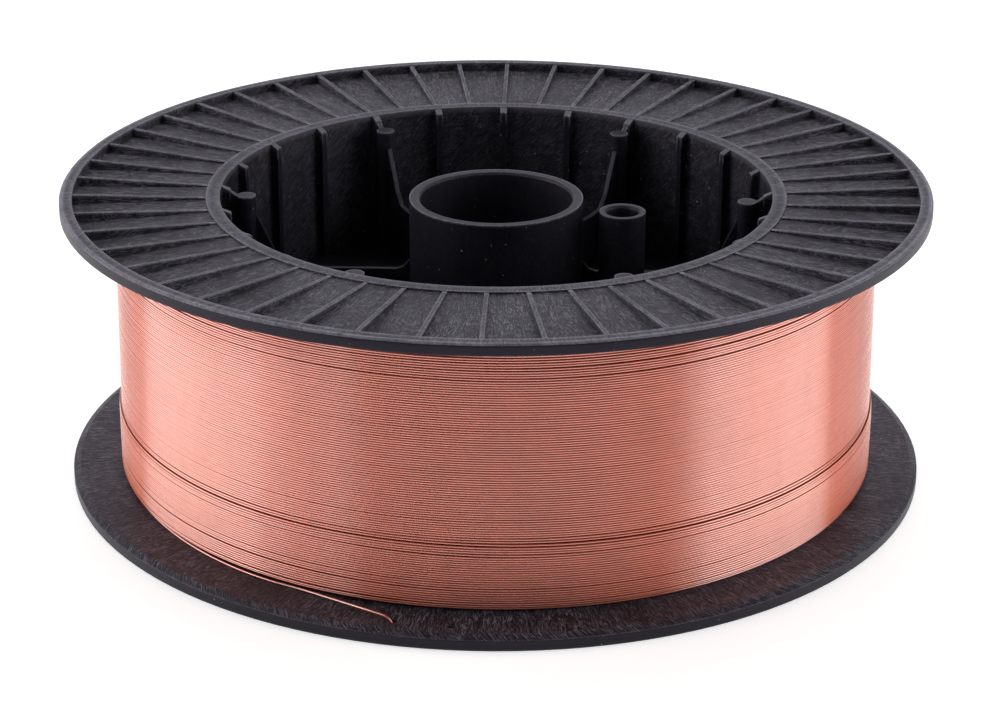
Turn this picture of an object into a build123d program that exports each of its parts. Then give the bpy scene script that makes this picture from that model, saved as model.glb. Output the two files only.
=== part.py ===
"""Welding wire spool, lying flat: a ribbed plastic spool, the wound wire and the wire's end.

Millimetres. The Z axis is the spool's axis, the floor is z = 0 and the front is -Y.
Angles of repeated features are counted from the back (+Y) towards the right (+X).
"""
import math
import os

from build123d import *

# Overall size of a 300 mm welding wire spool.
FLANGE_OD = 300.0
SPOOL_WIDTH = 103.0
FLANGE_EDGE = 5.0

# Flange: a thin plate with a raised outer rim, a raised inner ring and radial ribs.
PLATE_THICK = 1.8
RIM_WIDTH = 4.4
RIM_EDGE_CHAMFER = 0.6
FLANGE_LIP_CHAMFER = 1.2
INNER_RING_WIDTH = 4.8
INNER_RING_RISE = 0.6
FLANGE_RIBS = 48
FLANGE_RIB_THICK = 1.5
FLANGE_RIB_DROP = 0.25
FLANGE_RIB_START = 0.3
FLANGE_RIB_TIP = 0.5

# Barrel that carries the wire, as far in from the winding's outside as the wire is deep,
# with upright ribs inside.
WINDING_DEPTH = 33.5
BARREL_WALL = 4.0
BARREL_RIBS = 24
BARREL_RIB_THICK = 2.4
BARREL_RIB_DEPTH = 3.0
BARREL_RIB_STEP = 0.2
BARREL_RIB_SLOPE = 1.4

# Floor about halfway up the barrel.
FLOOR_THICK = 2.2
FLOOR_DROP = 2.2

# Hub in the middle and the driving tube beside it.
HUB_OD = 60.4
SPINDLE_BORE = 53.0
HUB_STEP = 5.7
HUB_CHAMFER = 0.7
DRIVE_RADIUS = 44.5
DRIVE_ANGLE = 100.6
DRIVE_OD = 16.0
DRIVE_BORE = 11.0
DRIVE_STEP = 7.5
DRIVE_CHAMFER = 0.8

# Round posts inside the barrel, each joined to a rib behind it and to the hub by a web.
POSTS = 6
POST_FIRST_ANGLE = 30.0
POST_INSET = 8.5
POST_OD = 6.6
POST_STEP = 6.2
WEB_THICK = 1.8
WEB_RISE = 19.0
WEB_POST_RISE = 39.0
WEB_FOOT_RUN = 21.0
WEB_EASE_RUN = 13.5
WEB_EASE_RISE = 0.8
WEB_BEND_RUN = 10.0
WEB_BEND_RISE = 24.0
HUB_GUSSET = 4.5
HUB_GUSSET_RISE = 3.6

# Holes near the rim where an end of the wire is tucked away: angles on the top and bottom flange.
TUCK_INSET = 7.0
TUCK_BORE = 3.0
TUCK_ANGLES_TOP = (11.25, 18.75)
TUCK_ANGLES_BOTTOM = (183.75, 191.25)

# Wound wire: the fullest turns are the low band, and the rest stands back from it.
WIRE_OD = 0.8
FLANGE_SHOWN = 17.0
WINDING_LOW_HEIGHT = 22.0
WINDING_STEP_HEIGHT = 2.0
WINDING_MID_BACK = 0.8
WINDING_TOP_BACK = 1.6

# Wire end: it leaves the winding's foot, rises a little and dips into its tuck hole.
END_GAP = 0.2
END_START_ANGLE = 210.0
END_LEAVE_ANGLE = 205.6
END_CREST_ANGLE = 194.4
END_CREST_INSET = 1.8
END_CREST_RISE = 1.4
END_BESIDE = 1.0
END_DIP = 0.8
END_SLANT = 0.3
END_TAIL = 2.4
END_BEND = 0.45

# Derived places.
MIDDLE = SPOOL_WIDTH / 2
FLANGE_R = FLANGE_OD / 2
RIM_INNER_R = FLANGE_R - RIM_WIDTH
WINDING_R = FLANGE_R - FLANGE_SHOWN
BARREL_OUT_R = WINDING_R - WINDING_DEPTH
BARREL_IN_R = BARREL_OUT_R - BARREL_WALL
RING_OUT_R = BARREL_IN_R + INNER_RING_WIDTH
POST_RADIUS = BARREL_IN_R - POST_INSET
TUCK_RADIUS = FLANGE_R - TUCK_INSET
GROOVE_LOW = FLANGE_EDGE
GROOVE_HIGH = SPOOL_WIDTH - FLANGE_EDGE
PLATE_TOP = GROOVE_HIGH + PLATE_THICK
RING_TOP = PLATE_TOP + INNER_RING_RISE
FLOOR_TOP = MIDDLE - FLOOR_DROP + FLOOR_THICK / 2
HUB_TOP = SPOOL_WIDTH - HUB_STEP
DRIVE_TOP = SPOOL_WIDTH - DRIVE_STEP
POST_TOP = SPOOL_WIDTH - POST_STEP
HUB_R = HUB_OD / 2
WIRE_R = WIRE_OD / 2
SINK = 0.5


def place(radius, angle, height=0.0):
    """A point at a radius and at an angle counted from the back towards the right."""
    a = math.radians(angle)
    return (radius * math.sin(a), radius * math.cos(a), height)


def turned(points):
    """A solid of revolution from (radius, height) points."""
    return revolve(Plane.XZ * make_face(Polyline(*points, close=True)), Axis.Z)


def upright_plate(points, thick, angle):
    """A plate with its outline in (radius, height), standing on the radial line at an angle."""
    plate = extrude(Plane.XZ * make_face(Polyline(*points, close=True)), thick / 2, both=True)
    return Rot(0, 0, 90 - angle) * plate


def both_sides(solids):
    """The solids of the upper side with their mirror images on the lower side."""
    mirrored = [mirror(solid, about=Plane.XY.offset(MIDDLE)) for solid in solids]
    return solids + mirrored


def mirrored_outline(upper):
    """The upper part of an outline in (radius, height), closed by its mirror image below the middle."""
    lower = [(radius, SPOOL_WIDTH - height) for radius, height in reversed(upper)]
    return upper + lower


def flanges_and_barrel():
    """Both flanges with their rims and inner rings, and the barrel between them."""
    lip = FLANGE_LIP_CHAMFER
    edge = RIM_EDGE_CHAMFER
    upper = [
        (BARREL_OUT_R, GROOVE_HIGH),
        (FLANGE_R - 2 * lip, GROOVE_HIGH),
        (FLANGE_R, GROOVE_HIGH + lip),
        (FLANGE_R, SPOOL_WIDTH - edge),
        (FLANGE_R - edge, SPOOL_WIDTH),
        (RIM_INNER_R, SPOOL_WIDTH),
        (RIM_INNER_R, PLATE_TOP),
        (RING_OUT_R, PLATE_TOP),
        (RING_OUT_R, RING_TOP),
        (BARREL_IN_R, RING_TOP),
    ]
    return turned(mirrored_outline(upper))


def flange_ribs():
    """Ribs that rise from beside the inner ring to the rim."""
    start = RING_OUT_R + FLANGE_RIB_START
    points = [
        (start, PLATE_TOP - SINK),
        (RIM_INNER_R + SINK, PLATE_TOP - SINK),
        (RIM_INNER_R + SINK, SPOOL_WIDTH - FLANGE_RIB_DROP),
        (RIM_INNER_R, SPOOL_WIDTH - FLANGE_RIB_DROP),
        (start, PLATE_TOP + FLANGE_RIB_TIP),
    ]
    pitch = 360 / FLANGE_RIBS
    return [upright_plate(points, FLANGE_RIB_THICK, pitch * k) for k in range(FLANGE_RIBS)]


def barrel_ribs():
    """Upright ribs on the barrel's inner wall, with sloping tops."""
    top = RING_TOP - BARREL_RIB_STEP
    upper = [
        (BARREL_IN_R + SINK, top),
        (BARREL_IN_R, top),
        (BARREL_IN_R - BARREL_RIB_DEPTH, top - BARREL_RIB_SLOPE),
    ]
    points = mirrored_outline(upper)
    pitch = 360 / BARREL_RIBS
    return [upright_plate(points, BARREL_RIB_THICK, pitch * k) for k in range(BARREL_RIBS)]


def posts_and_webs():
    """Round posts, the link from each to its rib and the web from each to the hub."""
    rib_face = BARREL_IN_R - BARREL_RIB_DEPTH
    rib_top = RING_TOP - BARREL_RIB_STEP - BARREL_RIB_SLOPE
    web_top = MIDDLE + WEB_RISE
    link = [
        (rib_face + SINK, rib_top),
        (POST_RADIUS + POST_OD / 2, POST_TOP),
        (POST_RADIUS, POST_TOP),
    ]
    web = [
        (POST_RADIUS, MIDDLE + WEB_POST_RISE),
        (POST_RADIUS - POST_OD / 2, MIDDLE + WEB_POST_RISE),
        (POST_RADIUS - WEB_BEND_RUN, MIDDLE + WEB_BEND_RISE),
        (POST_RADIUS - WEB_EASE_RUN, web_top + WEB_EASE_RISE),
        (POST_RADIUS - WEB_FOOT_RUN, web_top),
        (HUB_R + HUB_GUSSET, web_top),
        (HUB_R + HUB_GUSSET / 2, web_top + HUB_GUSSET_RISE / 4),
        (HUB_R, web_top + HUB_GUSSET_RISE),
        (HUB_R - SINK, web_top + HUB_GUSSET_RISE),
    ]
    made = []
    for k in range(POSTS):
        angle = POST_FIRST_ANGLE + 360 / POSTS * k
        post = extrude(Circle(POST_OD / 2), POST_TOP - MIDDLE, both=True)
        made.append(Pos(place(POST_RADIUS, angle, MIDDLE)) * post)
        made.append(upright_plate(mirrored_outline(link), WEB_THICK, angle))
        made.append(upright_plate(mirrored_outline(web), WEB_THICK, angle))
    return made


def tube(outer, bore, low, high, chamfer_size):
    """A tube round Z between two heights, with the mouths of its bore chamfered."""
    rb = bore / 2
    points = [
        (rb, low + chamfer_size),
        (rb + chamfer_size, low),
        (outer / 2, low),
        (outer / 2, high),
        (rb + chamfer_size, high),
        (rb, high - chamfer_size),
    ]
    return turned(points)


def make_spool():
    """The whole spool, one moulding."""
    floor = [
        (HUB_R - SINK, FLOOR_TOP - FLOOR_THICK),
        (BARREL_IN_R + SINK, FLOOR_TOP - FLOOR_THICK),
        (BARREL_IN_R + SINK, FLOOR_TOP),
        (HUB_R - SINK, FLOOR_TOP),
    ]
    drive_place = Pos(place(DRIVE_RADIUS, DRIVE_ANGLE))
    spool = flanges_and_barrel() + both_sides(flange_ribs())
    spool += barrel_ribs() + posts_and_webs() + [turned(floor)]
    spool -= drive_place * Pos(0, 0, HUB_STEP) * extrude(Circle(DRIVE_OD / 2 - SINK), HUB_TOP)
    spool += drive_place * tube(DRIVE_OD, DRIVE_BORE, DRIVE_STEP, DRIVE_TOP, DRIVE_CHAMFER)
    spool += tube(HUB_OD, SPINDLE_BORE, HUB_STEP, HUB_TOP, HUB_CHAMFER)
    tuck = extrude(Circle(TUCK_BORE / 2), FLANGE_EDGE)
    holes = [Pos(place(TUCK_RADIUS, a, GROOVE_HIGH - SINK)) * tuck for a in TUCK_ANGLES_TOP]
    holes += [Pos(place(TUCK_RADIUS, a, SINK)) * tuck for a in TUCK_ANGLES_BOTTOM]
    return spool - holes


def make_winding():
    """The wound wire as one turned ring, with the fuller band near its foot."""
    low, high = GROOVE_LOW, GROOVE_HIGH
    points = [
        (BARREL_OUT_R, low),
        (WINDING_R, low),
        (WINDING_R, low + WINDING_LOW_HEIGHT),
        (WINDING_R - WINDING_MID_BACK, low + WINDING_LOW_HEIGHT + WINDING_STEP_HEIGHT),
        (WINDING_R - WINDING_TOP_BACK, high),
        (BARREL_OUT_R, high),
    ]
    return turned(points)


def route_radii(points):
    """The largest arc that the runs beside each corner of a route allow."""
    radii = []
    for before, corner, after in zip(points, points[1:], points[2:]):
        arriving = Vector(*corner) - Vector(*before)
        leaving = Vector(*after) - Vector(*corner)
        half_turn = math.radians(arriving.get_angle(leaving)) / 2
        radii.append(END_BEND * min(arriving.length, leaving.length) / math.tan(half_turn))
    return radii


def make_wire_end():
    """The wire's end, from the foot of the winding over the flange and down its tuck hole."""
    lying = GROOVE_LOW + WIRE_R
    on_winding = WINDING_R + WIRE_R + END_GAP
    hole_angle = TUCK_ANGLES_BOTTOM[1]
    crest_radius = TUCK_RADIUS - END_CREST_INSET
    crest_rise = lying + END_CREST_RISE
    edge_rise = lying + END_CREST_RISE * END_DIP
    edge_angle = math.degrees(TUCK_BORE / 2 / TUCK_RADIUS)
    points = [
        place(on_winding, END_START_ANGLE, lying),
        place(on_winding, END_LEAVE_ANGLE, lying),
        place(crest_radius, END_CREST_ANGLE, crest_rise),
        place(TUCK_RADIUS - WIRE_R / 2, hole_angle + END_BESIDE * edge_angle, edge_rise),
        place(TUCK_RADIUS, hole_angle - END_SLANT * edge_angle, GROOVE_LOW - END_TAIL),
    ]
    radii = route_radii(points)
    path = FilletPolyline(*points, radius=radii)
    end = sweep(Plane(origin=path @ 0, z_dir=path % 0) * Circle(WIRE_R), path=path)
    swept = math.pi * WIRE_R**2 * path.length
    print("wire end: radii", [round(r, 1) for r in radii])
    print("wire end: volume", round(end.volume, 3), "section x length", round(swept, 3))
    return end


def main():
    os.makedirs("parts", exist_ok=True)
    made = {
        "spool": make_spool(),
        "wire_winding": make_winding(),
        "wire_end": make_wire_end(),
    }
    for node, shape in made.items():
        export_step(shape, f"parts/{node}.step")
        box = shape.bounding_box()
        print(node, len(shape.solids()), round(shape.volume / 1000, 2), "cm3", box.min, box.max)


if __name__ == "__main__":
    main()
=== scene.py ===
"""Looks of the welding wire spool: the wound turns, the wire's end, materials, light and camera."""

import math
import random

import bpy
from mathutils import Matrix, Vector


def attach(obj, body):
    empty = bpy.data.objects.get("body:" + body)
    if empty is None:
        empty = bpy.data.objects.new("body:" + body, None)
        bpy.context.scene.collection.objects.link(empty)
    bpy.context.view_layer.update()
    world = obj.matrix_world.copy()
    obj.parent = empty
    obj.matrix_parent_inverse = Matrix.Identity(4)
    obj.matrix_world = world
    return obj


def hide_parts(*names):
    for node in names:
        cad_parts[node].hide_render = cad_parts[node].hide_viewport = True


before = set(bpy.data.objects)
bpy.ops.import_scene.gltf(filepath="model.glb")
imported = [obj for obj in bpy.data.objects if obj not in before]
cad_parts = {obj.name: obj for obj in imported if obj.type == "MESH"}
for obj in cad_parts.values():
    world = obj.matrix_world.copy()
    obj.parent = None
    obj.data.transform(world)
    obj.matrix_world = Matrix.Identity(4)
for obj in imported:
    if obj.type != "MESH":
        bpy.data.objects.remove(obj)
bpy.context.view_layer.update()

MM = 0.001

# Winding, in mm: the outside of the CAD ring, with turns of wire laid on it.
WIRE_OD = 0.8
BARREL_RADIUS = 99.5
BAND_RADIUS = 133.0
MAIN_RADIUS = 132.2
HEAD_RADIUS = 131.5
BAND_TOP = 27.2
STEP_TOP = 29.0
FOOT_HEIGHT = 2.0
FOOT_SLOPE = 0.5
GROOVE_LOW = 5.0
GROOVE_HIGH = 98.0
LAY = 0.785
TURNS = 114
STEPS = 288
ARC_POINTS = 6
ARC_HALF = 96
TURN_GROUPS = [(0, 29), (29, 58), (58, 87), (87, TURNS)]

# In parts of a turn: where a turn starts to step to the next one, and how far before its end the last one dives.
STEP_FROM, STEP_OVER = 0.82, 0.18
DIVE_BEFORE, DIVE_OVER = 0.25, 0.05
DIVE_DEPTH = 1.0
CUT_SHORT = STEPS // 5

# The layer below: how far it lies inside the outer one, how dark its colour is painted as shade (the crown value that
# takes the full painted gap shade), and its rows and steps.
UNDER_DEPTH = 0.62
UNDER_CROWN = 0.2
UNDER_ROWS = 40
UNDER_STEPS = 192

# The gaps seen in the winding, in mm, by the number of the turn below them, and how far the turn above one sinks in.
SEEN_GAPS = {
    0: 0.12, 2: 0.16, 8: 0.18, 11: 0.07, 23: 0.16, 26: 0.12, 27: 0.16, 29: 0.34, 37: 0.05, 58: 0.05, 76: 0.05,
    97: 0.22, 101: 0.26, 104: 0.10, 106: 0.14, 109: 0.16, 111: 0.12,
}
GAP_SINK = 0.25

# How unevenly the turns lie: the random gaps, depths and wandering in mm, the parts of a gap that swing slowly and
# fast round the winding, and where the turns lie looser, with how much.
SEED = 7
SLACK, SUNK, WANDER = 0.012, 0.022, 0.02
SLOW_SWING, FAST_SWING = 0.5, 0.3
LOOSE_BELOW, LOOSER_BELOW = 26, 3
LOOSE_ABOVE, LOOSER_ABOVE = 102, 4

# The wire's end starts at this angle from the back, clockwise from above, and at this radius. The first turn takes up
# its own radius and its own height over the other two angles.
END_ANGLE = 210.0
END_RADIUS = 133.6
END_IN, END_UP = 34, 20

# Radii and heights on the spool, in m, between which its marks, its wear and its painted highlights change.
BARREL_WALL = (0.0950, 0.0957)
BARREL_EDGE = (0.0950, 0.0954)
BARREL_MOUTH = (0.0945, 0.0975)
RIB_TIP_RADII = (0.0951, 0.0954)
RIB_TIP_HEIGHTS = (0.0978, 0.0984)
RING_MIDDLE, RING_HALF = 0.1003, 0.0022
PLATE_RADII = (0.0970, 0.1452)
PLATE_HEIGHTS = (0.0030, 0.1003)
RIM_INNER = (0.1455, 0.1465)
RIM_TOP = (0.1465, 0.1475)
RIM_OUTER = (0.1486, 0.1492)
ROUNDED_FROM = (0.0990, 0.0995)
TOP_FACES = (0.1022, 0.1026)
TUBE_AXIS = (0.04374, -0.00819, 0.0)
TUBE_MOUTH = (0.0066, 0.0071)

# Edges, in m: how round they are and how far their pale wear and painted highlight reach, each with what the rim and
# the ring get on top.
EDGE_RADIUS, MORE_RADIUS = 0.0006, 0.0012
WEAR_AND_HIGHLIGHT_REACH, MORE_REACH = 0.0009, 0.0013
EDGE_SAMPLES = 4

# How far marks turn round the spool as they climb, in radians per m.
WALL_SLANT = 12.0

WHITE = (1, 1, 1, 1)

# Colours of the plastic and of the marks on it.
PLASTIC_DEEP = (0.0048, 0.0040, 0.0068, 1)
PLASTIC = (0.0092, 0.0080, 0.0124, 1)
PLASTIC_SHEEN = (0.86, 0.81, 1.0, 1)
SWIRLED = (0.130, 0.122, 0.148, 1)
CURLED = (0.200, 0.190, 0.228, 1)
SCRATCHED = (0.215, 0.204, 0.245, 1)
DUST = (0.30, 0.29, 0.33, 1)
WORN_AND_HIGHLIGHT = (0.36, 0.345, 0.405, 1)

# Colours of the wire, the painted shade they are multiplied by in the gaps between turns, and how dark the layer below
# and the wire's end are painted, as shade.
COPPER = (0.79, 0.182, 0.086)
COPPER_DEEP = (0.67, 0.138, 0.061)
COPPER_STAIN = (0.50, 0.100, 0.046)
PAINTED_GAP_SHADE = (0.48, 0.32, 0.26, 1)
UNDER_PAINTED_SHADE = 0.35
END_PAINTED_SHADE = 0.8

# Camera: fitted to the photograph's outlines; its turn matches the ribs' places.
LOOK_AT = Vector((0.0, 0.0, 0.0515))
DISTANCE = 0.9801
ELEVATION = math.radians(21.61)
TURN = math.radians(1.65)
ROLL = math.radians(-0.183)
SENSOR = 36.0
FOCAL_PIXELS = 2775.1
SHIFT_PIXELS = (4.2, -34.5)
PHOTO_WIDTH = 1000.0

# Light: greys of the room, of the wall behind and of the floor.
FRONT_GREY = 0.13
BACK_GREY = 0.86
BACK_TINT = (0.97, 0.93, 1.06)
TOP_GREY = 0.16
FLOOR_GREY = 0.86
FLOOR_GLOW = 0.55


def grey(value):
    """A grey as a colour."""
    return (value, value, value, 1)


class Graph:
    """The node tree of a material or a world, with short calls for its nodes.

    Wherever a call takes a value, it may be a socket or a plain number or colour.
    """

    def __init__(self, owner):
        owner.use_nodes = True
        owner.node_tree.nodes.clear()
        self.nodes, self.links = owner.node_tree.nodes, owner.node_tree.links

    def put(self, socket, value):
        """Links a socket to an input or sets the input's value."""
        if isinstance(value, bpy.types.NodeSocket):
            self.links.new(value, socket)
        else:
            socket.default_value = value

    def new(self, kind, **inputs):
        """A node with inputs set by name, an underscore standing for a space."""
        node = self.nodes.new("ShaderNode" + kind)
        for name, value in inputs.items():
            self.put(node.inputs[name.replace("_", " ")], value)
        return node

    def maths(self, operation, *values):
        """The result of a maths node."""
        node = self.new("Math")
        node.operation = operation
        for socket, value in zip(node.inputs, values):
            self.put(socket, value)
        return node.outputs[0]

    def times(self, first, *others):
        """Two or more values multiplied."""
        for other in others:
            first = self.maths("MULTIPLY", first, other)
        return first

    def plus(self, first, *others):
        """Two or more values added."""
        for other in others:
            first = self.maths("ADD", first, other)
        return first

    def less(self, first, second):
        """The first value less the second."""
        return self.maths("SUBTRACT", first, second)

    def most(self, first, second):
        """The larger of two values."""
        return self.maths("MAXIMUM", first, second)

    def between(self, value, low, high):
        """One between two values and zero outside them."""
        return self.times(self.maths("GREATER_THAN", value, low), self.maths("LESS_THAN", value, high))

    def ramp(self, source, low, high, dark=grey(0.0)):
        """A ramp to white between two positions, from black or another colour."""
        node = self.new("ValToRGB", Fac=source)
        start, end = node.color_ramp.elements
        start.position, start.color = low, dark
        end.position, end.color = high, WHITE
        return node.outputs[0]

    def mixed(self, factor, first, second, blend="MIX"):
        """Two colours mixed."""
        node = self.new("Mix")
        node.data_type = "RGBA"
        node.blend_type = blend
        for socket, value in ((node.inputs[0], factor), (node.inputs[6], first), (node.inputs[7], second)):
            self.put(socket, value)
        return node.outputs[2]

    def stretched(self, vector, scale):
        """A vector scaled unevenly."""
        return self.new("Mapping", Vector=vector, Scale=scale).outputs[0]

    def noise(self, vector, scale, detail, roughness, distortion):
        """Noise at one scale, or at three for a vector scaled unevenly."""
        if isinstance(scale, tuple):
            vector, scale = self.stretched(vector, scale), 1.0
        node = self.new("TexNoise", Vector=vector, Scale=scale, Detail=detail, Roughness=roughness,
                        Distortion=distortion)
        return node.outputs["Fac"]

    def parts(self, vector):
        """The three numbers of a vector."""
        return self.new("SeparateXYZ", Vector=vector).outputs

    def polar_place(self, slant=0.0):
        """The object place, the same place as radius, arc and height, and the radius and the height alone.

        The slant turns the arc with the height, so that marks drawn with it slant up a wall.
        """
        place = self.new("TexCoord").outputs["Object"]
        x, y, z = self.parts(place)
        radius = self.maths("SQRT", self.plus(self.times(x, x), self.times(y, y)))
        angle = self.plus(self.maths("ARCTAN2", y, x), self.times(z, slant))
        return place, self.new("CombineXYZ", X=radius, Y=angle, Z=z).outputs[0], radius, z

    def surface(self, **inputs):
        """A principled shader as the surface, with inputs set by name."""
        self.new("OutputMaterial", Surface=self.new("BsdfPrincipled", **inputs).outputs[0])


def edge_wear_and_highlight(g, place, radius, z, rim_side, hair, fine, patches):
    """How pale the outer edges are, from wear and painted highlight, found from how near the solid's other side is,
    and the normal that rounds them.
    """
    on_ring = g.maths("COMPARE", radius, RING_MIDDLE, RING_HALF)
    rounded = g.times(g.ramp(z, *ROUNDED_FROM), g.most(on_ring, g.ramp(radius, *RIM_TOP)))
    bevel = g.new("Bevel", Radius=g.maths("MULTIPLY_ADD", rounded, MORE_RADIUS, EDGE_RADIUS))
    bevel.samples = EDGE_SAMPLES
    # on the rim and the ring the pale edges reach further: a wider painted highlight line
    near = g.new("AmbientOcclusion", Distance=g.plus(WEAR_AND_HIGHLIGHT_REACH, g.times(rounded, MORE_REACH)))
    near.inside = True
    near.only_local = True
    near.samples = EDGE_SAMPLES
    open_side = g.less(1.0, near.outputs["AO"])
    edge = g.most(g.times(g.ramp(open_side, 0.03, 0.20), rounded), g.ramp(open_side, 0.14, 0.50))

    patchy = g.most(g.times(rounded, g.ramp(hair, 0.36, 0.60, grey(0.25))), g.ramp(fine, 0.30, 0.60))
    patchy = g.times(patchy, g.ramp(patches, 0.30, 0.60, grey(0.45)))
    # inside the barrel only the edges near the mouth get the pale wear and painted highlight
    kept = g.most(g.ramp(radius, *BARREL_EDGE), g.ramp(z, *BARREL_MOUTH))
    # the plates' small holes and the inside of the driving tube's mouth stay dark, without pale wear or painted
    # highlight
    on_plate = g.times(g.between(radius, *PLATE_RADII), g.between(z, *PLATE_HEIGHTS))
    from_tube = g.new("VectorMath")
    from_tube.operation = "DISTANCE"
    g.put(from_tube.inputs[0], g.stretched(place, (1.0, 1.0, 0.0)))
    g.put(from_tube.inputs[1], TUBE_AXIS)
    past_mouth = g.ramp(from_tube.outputs["Value"], *TUBE_MOUTH)
    worn_and_highlit = g.times(edge, patchy, g.less(1.0, rim_side), g.most(kept, 0.03), g.less(1.0, on_plate), past_mouth)
    # painted highlight: the barrel ribs' upper ends are painted paler
    tip_highlight = g.times(g.ramp(z, *RIB_TIP_HEIGHTS), g.less(1.0, g.ramp(radius, *RIB_TIP_RADII)))
    return g.most(worn_and_highlit, g.times(tip_highlight, 0.6)), bevel.outputs[0]


def plastic():
    """Black moulded plastic: swirled polishing marks from the mould, scuffs, specks, and paler edges, partly wear and
    partly painted highlight.
    """
    material = bpy.data.materials.new("spool_plastic")
    g = Graph(material)
    place, polar, radius, z = g.polar_place(WALL_SLANT)
    cloud = g.noise(place, 26.0, 4.0, 0.55, 0.6)
    patches = g.noise(place, 90.0, 4.0, 0.6, 1.0)
    swirl = g.noise(polar, (110.0, 105.0, 500.0), 3.0, 0.6, 2.2)
    hair = g.noise(polar, (120.0, 150.0, 220.0), 2.0, 0.6, 3.0)
    fine = g.noise(place, 900.0, 3.0, 0.65, 1.5)
    specks = g.noise(place, 620.0, 2.0, 0.4, 0.0)
    strokes = g.noise(place, 300.0, 2.0, 0.5, 0.4)
    whorls = g.new("TexVoronoi", Vector=g.stretched(polar, (36.0, 13.0, 60.0)), Scale=1.0).outputs["Distance"]
    ripples = g.maths("SINE", g.times(g.plus(whorls, g.noise(place, 60.0, 2.0, 0.5, 0.5)), 62.0))

    # the rim's side has no marks; the top faces have fewer, and the barrel's inside very few
    facing_up = g.maths("ABSOLUTE", g.parts(g.new("TexCoord").outputs["Normal"])[2])
    rim_side = g.times(g.less(1.0, g.ramp(facing_up, 0.5, 0.7)), g.ramp(radius, *RIM_INNER))
    top = g.ramp(z, *TOP_FACES)
    plain = g.most(g.most(g.ramp(radius, *RIM_OUTER), rim_side), g.times(top, 0.3))
    marked = g.times(g.less(1.0, plain), g.ramp(radius, *BARREL_WALL, grey(0.09)))

    marks = g.times(g.ramp(swirl, 0.48, 0.66), g.ramp(patches, 0.30, 0.62), marked)
    curls = g.times(g.ramp(ripples, 0.20, 1.0), g.ramp(strokes, 0.44, 0.58), g.ramp(whorls, 0.08, 0.24),
                    g.ramp(z, 0.04, 0.06, grey(0.4)), marked)
    hairs = g.times(g.ramp(hair, 0.53, 0.64), g.ramp(cloud, 0.30, 0.54), marked)
    dots = g.ramp(specks, 0.745, 0.78)
    worn_and_highlit, rounded_normal = edge_wear_and_highlight(g, place, radius, z, rim_side, hair, fine, patches)
    base = g.mixed(g.ramp(cloud, 0.35, 0.68), PLASTIC_DEEP, PLASTIC)
    # the pale edges are partly wear and partly painted highlight
    for where, amount, colour in ((marks, 0.45, SWIRLED), (curls, 0.42, CURLED), (hairs, 0.80, SCRATCHED),
                                  (dots, 0.8, DUST), (worn_and_highlit, 0.85, WORN_AND_HIGHLIGHT)):
        base = g.mixed(g.times(where, amount), base, colour)

    rough = g.plus(0.33, g.times(patches, 0.16), g.times(swirl, marked, 0.10))
    rough = g.less(rough, g.times(top, 0.18))
    height = g.times(g.plus(g.times(swirl, 0.9), g.times(hair, 0.7)), marked)
    height = g.plus(height, g.times(patches, 0.5), g.times(fine, 0.25), g.times(curls, 0.22))
    bump = g.new("Bump", Strength=0.8, Distance=0.00022, Height=height, Normal=rounded_normal)
    g.surface(Base_Color=base, Roughness=rough, Specular_IOR_Level=0.31, Specular_Tint=PLASTIC_SHEEN,
              Normal=bump.outputs[0])
    return material


def copper(name, painted_shade=1.0, turned=True):
    """Copper-coated steel wire: a satin copper under a thin glossy film, with drawn streaks, dashes and tarnish.

    On the turned pieces the film fades and the colour is painted darker, as shade, from a wire's crown to the gap
    beside it.
    """
    material = bpy.data.materials.new(name)
    g = Graph(material)
    place, polar = g.polar_place()[:2]
    drawn = g.noise(polar, (1.0, 9.0, 2600.0), 3.0, 0.6, 0.2)
    dashes = g.noise(polar, (1.0, 34.0, 1300.0), 2.0, 0.6, 0.3)
    bands = g.noise(polar, (1.0, 16.0, 26.0), 2.0, 0.5, 0.3)
    patch = g.noise(place, 55.0, 3.0, 0.55, 0.5)
    grain = g.noise(place, 4000.0, 2.0, 0.5, 0.0)

    # painted shade: the wire's colours are darkened here for a shaded copy of the same wire
    light, deep, stain = (tuple(v * painted_shade for v in colour) + (1,) for colour in (COPPER, COPPER_DEEP, COPPER_STAIN))
    shade = g.plus(g.times(drawn, 0.45), g.times(dashes, 0.35), g.times(bands, 0.20))
    base = g.mixed(g.ramp(shade, 0.38, 0.62), deep, light)
    base = g.mixed(g.times(g.ramp(patch, 0.52, 0.78), 0.30), base, stain)
    film = 1.0
    if turned:
        attribute = g.new("Attribute")
        attribute.attribute_name = "crown"
        crown = attribute.outputs["Fac"]
        # painted shade: the colour darkens from a wire's crown towards the gap beside it, and the film fades there
        base = g.mixed(1.0, base, g.ramp(crown, 0.20, 0.80, PAINTED_GAP_SHADE), "MULTIPLY")
        film = g.ramp(crown, 0.20, 0.75)
    height = g.plus(g.times(grain, 0.03), g.times(dashes, 1.5))
    bump = g.new("Bump", Strength=0.2, Distance=0.00003, Height=height)
    g.surface(Base_Color=base, Metallic=1.0, Roughness=g.plus(0.46, g.times(drawn, 0.2)), Coat_Weight=film,
              Coat_IOR=2.8, Coat_Roughness=0.14, Normal=bump.outputs[0])
    return material


def placed(name, data):
    """A new object in the scene."""
    obj = bpy.data.objects.new(name, data)
    bpy.context.scene.collection.objects.link(obj)
    return obj


def mesh_piece(name, points, faces, material, crown):
    """A smooth mesh that rides on the row's one body; crown is 1 on a wire's outer line and 0 in the gap beside it."""
    mesh = bpy.data.meshes.new(name)
    mesh.from_pydata([tuple(v * MM for v in p) for p in points], [], faces)
    mesh.attributes.new("crown", "FLOAT", "POINT").data.foreach_set("value", crown)
    for face in mesh.polygons:
        face.use_smooth = True
    mesh.materials.append(material)
    obj = placed(name, mesh)
    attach(obj, "root")
    return obj


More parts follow.
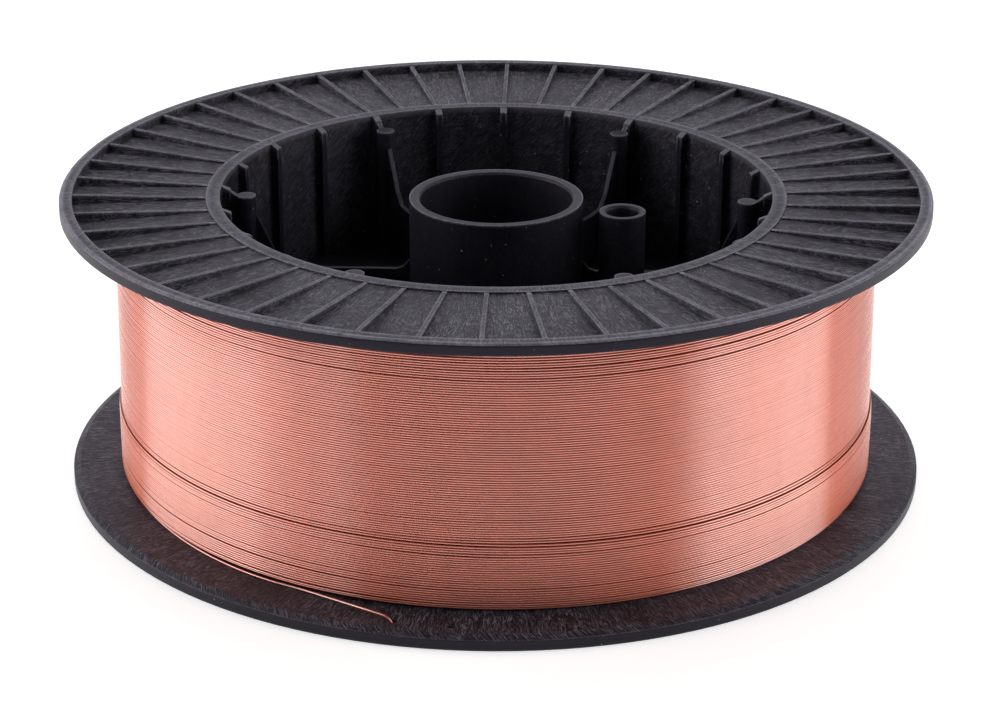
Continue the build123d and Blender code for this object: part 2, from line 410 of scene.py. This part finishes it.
def eased(t):
    """From 0 to 1 with a soft start and end, held outside them."""
    t = min(max(t, 0.0), 1.0)
    return t * t * (3 - 2 * t)


def turn_radius(height):
    """Outer radius of the winding at a height."""
    foot_top = GROOVE_LOW + FOOT_HEIGHT
    if height < foot_top:
        return BAND_RADIUS - FOOT_SLOPE * (foot_top - height)
    if height < BAND_TOP:
        return BAND_RADIUS
    if height < STEP_TOP:
        return BAND_RADIUS + (MAIN_RADIUS - BAND_RADIUS) * eased((height - BAND_TOP) / (STEP_TOP - BAND_TOP))
    return MAIN_RADIUS + (HEAD_RADIUS - MAIN_RADIUS) * (height - STEP_TOP) / (GROOVE_HIGH - STEP_TOP)


def lay_of_turns():
    """Where each turn lies: its height by angle, and how deep it sits and how it wanders.

    Tight turns are LAY apart. The rest of the height is in the gaps, which widen and close round the winding.
    """
    rng = random.Random(SEED)

    def phase():
        return rng.uniform(0, math.tau)

    def looser(k):
        return LOOSER_BELOW if k < LOOSE_BELOW else LOOSER_ABOVE if k > LOOSE_ABOVE else 1

    slack = [abs(rng.gauss(0, SLACK)) * looser(k) for k in range(TURNS)]
    room = GROOVE_HIGH - GROOVE_LOW - WIRE_OD - TURNS * LAY - sum(SEEN_GAPS.values())
    gaps = [slack[k] * room / sum(slack) + SEEN_GAPS.get(k, 0.0) for k in range(TURNS)]
    swings = [(rng.choice((1, 2, 3)), phase(), rng.choice((4, 5, 7)), phase()) for _ in gaps]
    heights = []
    for c in range(STEPS):
        a = math.tau * c / STEPS
        now = [gap * (1 + SLOW_SWING * math.sin(n * a + p) + FAST_SWING * math.sin(m * a + q))
               for gap, (n, p, m, q) in zip(gaps, swings)]
        even = sum(gaps) / sum(now)
        column = [GROOVE_LOW + WIRE_OD / 2]
        for gap in now:
            column.append(column[-1] + LAY + gap * even)
        heights.append(column)
    sunk = [rng.gauss(0, SUNK) for _ in range(TURNS + 1)]
    for k, gap in SEEN_GAPS.items():
        sunk[k + 1] -= GAP_SINK * gap
    waves = [[(phase(), rng.uniform(0.0, WANDER), n) for n in (1, 2, 3, 5)] for _ in range(TURNS + 1)]
    return heights, sunk, waves


def wire_axis(turn, column, sunk, waves):
    """Angle, radius and height of the wire's axis, so many turns after the wire's end."""
    r = WIRE_OD / 2
    k = min(int(turn + 1e-9), TURNS - 1)
    part = turn - k
    a = math.radians(END_ANGLE) + math.tau * part
    step = eased((part - STEP_FROM) / STEP_OVER)
    height = column[k] + (column[k + 1] - column[k]) * step
    lift = sunk[k] + (sunk[k + 1] - sunk[k]) * step
    for (p0, s0, n), (p1, s1, _) in zip(waves[k], waves[min(k + 1, TURNS)]):
        lift += (s0 + (s1 - s0) * step) * math.sin(n * a + p0 + (p1 - p0) * step)
    height = min(max(height, GROOVE_LOW + r), GROOVE_HIGH - r)
    radius = turn_radius(height) - r + lift
    if k == 0:  # the first turn comes from the wire's end
        radius += (END_RADIUS - radius) * (1 - eased(part * 360 / END_IN))
        height = GROOVE_LOW + r + (height - GROOVE_LOW - r) * eased(part * 360 / END_UP)
    if turn > TURNS - DIVE_BEFORE:  # the last one dives under its neighbour
        radius -= DIVE_DEPTH * eased((turn - TURNS + DIVE_BEFORE) / DIVE_OVER)
    return a, radius, height


def wound_turns(material):
    """The outer layer of wire as one helix of half-round strips, in groups of turns.

    A turn keeps its height most of the way round and steps to the next one in front, beside the wire's end.
    """
    heights, sunk, waves = lay_of_turns()
    r = WIRE_OD / 2
    arc = [math.radians(-ARC_HALF + 2 * ARC_HALF * j / (ARC_POINTS - 1)) for j in range(ARC_POINTS)]
    for number, (first, last) in enumerate(TURN_GROUPS, 1):
        points, faces, crown = [], [], []
        columns = (last - first) * STEPS + 1
        if last == TURNS:
            columns -= CUT_SHORT
        for c in range(columns):
            a, radius, height = wire_axis(first + c / STEPS, heights[c % STEPS], sunk, waves)
            for t in arc:
                rr = radius + r * math.cos(t)
                points.append((rr * math.sin(a), rr * math.cos(a), height + r * math.sin(t)))
                crown.append(max(0.0, math.cos(t)))
        for c in range(columns - 1):
            for i in range(c * ARC_POINTS, (c + 1) * ARC_POINTS - 1):
                faces.append((i, i + 1, i + ARC_POINTS + 1, i + ARC_POINTS))
        mesh_piece(f"wound_turns_{number}", points, faces, material, crown)


def under_layer(material):
    """The layer of wire below the outer one, seen only as the dark between turns, with its two ends; its colour is
    painted dark as shade.
    """
    heights = [GROOVE_LOW + (GROOVE_HIGH - GROOVE_LOW) * k / UNDER_ROWS for k in range(UNDER_ROWS + 1)]
    outside = [(turn_radius(h) - UNDER_DEPTH, h) for h in heights]
    ring = [(BARREL_RADIUS, GROOVE_LOW)] + outside + [(BARREL_RADIUS, GROOVE_HIGH)]
    n = len(ring)
    points, faces = [], []
    for s in range(UNDER_STEPS):
        a = math.tau * s / UNDER_STEPS
        points += [(radius * math.sin(a), -radius * math.cos(a), h) for radius, h in ring]
        here, beside = s * n, (s + 1) % UNDER_STEPS * n
        for j in range(n):
            up = (j + 1) % n
            faces.append((here + j, beside + j, beside + up, here + up))
    return mesh_piece("under_turns", points, faces, material, [UNDER_CROWN] * len(points))


def dress(node, material):
    """Gives a CAD node that stays in view its material."""
    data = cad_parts[node].data
    data.materials.clear()
    data.materials.append(material)


def aimed(direction):
    """The turn of a lamp or camera that faces along a direction."""
    return direction.to_track_quat("-Z", "Y")


def add_camera():
    """The camera fitted to the photograph."""
    away = Vector((-math.sin(TURN) * math.cos(ELEVATION), math.cos(TURN) * math.cos(ELEVATION), -math.sin(ELEVATION)))
    data = bpy.data.cameras.new("camera")
    data.sensor_width = SENSOR
    data.lens = FOCAL_PIXELS * SENSOR / PHOTO_WIDTH
    data.shift_x = SHIFT_PIXELS[0] / PHOTO_WIDTH
    data.shift_y = SHIFT_PIXELS[1] / PHOTO_WIDTH
    data.clip_start = 0.01
    camera = placed("camera", data)
    stand = Matrix.Translation(LOOK_AT - away * DISTANCE)
    camera.matrix_world = stand @ aimed(away).to_matrix().to_4x4() @ Matrix.Rotation(-ROLL, 4, "Z")
    bpy.context.scene.camera = camera


def floor():
    """A plain pale floor that shows as white and keeps the object's soft shadow.

    It glows only for rays from the camera and for mirrored or refracted ones, so that it doesn't light the object.
    """
    mesh = bpy.data.meshes.new("floor")
    mesh.from_pydata([(-3, -1.6, 0), (3, -1.6, 0), (3, 4, 0), (-3, 4, 0)], [], [(0, 1, 2, 3)])
    material = bpy.data.materials.new("floor")
    g = Graph(material)
    path = g.new("LightPath").outputs
    seen = g.most(g.most(path["Is Camera Ray"], path["Is Glossy Ray"]), path["Is Transmission Ray"])
    g.surface(Base_Color=grey(FLOOR_GREY), Roughness=0.95, Specular_IOR_Level=0.1, Emission_Color=WHITE,
              Emission_Strength=g.times(seen, FLOOR_GLOW))
    mesh.materials.append(material)
    placed("floor", mesh)


def lamp(name, place, target, width, height, brightness):
    """A rectangular area lamp at a place, facing a target."""
    light = bpy.data.lights.new(name, "AREA")
    light.shape = "RECTANGLE"
    light.size = width
    light.size_y = height
    light.energy = math.pi * width * height * brightness
    obj = placed(name, light)
    obj.location = place
    obj.rotation_euler = aimed(Vector(target) - Vector(place)).to_euler()


def softbox(name, turn, width, brightness, distance=1.3, height=1.0):
    """An upright lamp that stands beside the object; turn counts from the camera's side, positive to the right."""
    a = math.radians(turn)
    place = (distance * math.sin(a), -distance * math.cos(a), height / 2)
    lamp(name, place, (0, 0, 0.05), width, height, brightness)


def surroundings():
    """World light: a pale wall behind the object, a dimmer room above and towards the camera; white to the camera."""
    world = bpy.data.worlds.new("world")
    g = Graph(world)
    _, y, z = g.parts(g.new("TexCoord").outputs["Generated"])
    back = tuple(BACK_GREY * v for v in BACK_TINT) + (1,)
    wall = g.mixed(g.ramp(y, 0.74, 0.93), grey(FRONT_GREY), back)
    room = g.mixed(g.ramp(z, 0.32, 0.66), wall, grey(TOP_GREY))
    shown = g.mixed(g.new("LightPath").outputs["Is Camera Ray"], room, WHITE)
    g.new("OutputWorld", Surface=g.new("Background", Color=shown).outputs[0])
    bpy.context.scene.world = world


wound_turns(copper("copper_wire"))
# the layer below gets a darker copy of the wire's colours: painted shade
under = under_layer(copper("copper_wire_under", UNDER_PAINTED_SHADE))
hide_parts("wire_winding")
dress("spool", plastic())
# the wire's end gets a darker copy of the wire's colours: painted shade
dress("wire_end", copper("copper_wire_end", END_PAINTED_SHADE, turned=False))

add_camera()
floor()
surroundings()
softbox("left", -91, 1.35, 2.8)
softbox("left_edge", -50, 0.6, 1.0)
softbox("right", 85, 1.25, 3.0)
lamp("overhead", (0, 0.62, 1.25), (0, 0, 0.1), 1.6, 0.6, 2.6)
bpy.context.scene.view_settings.view_transform = "Standard"
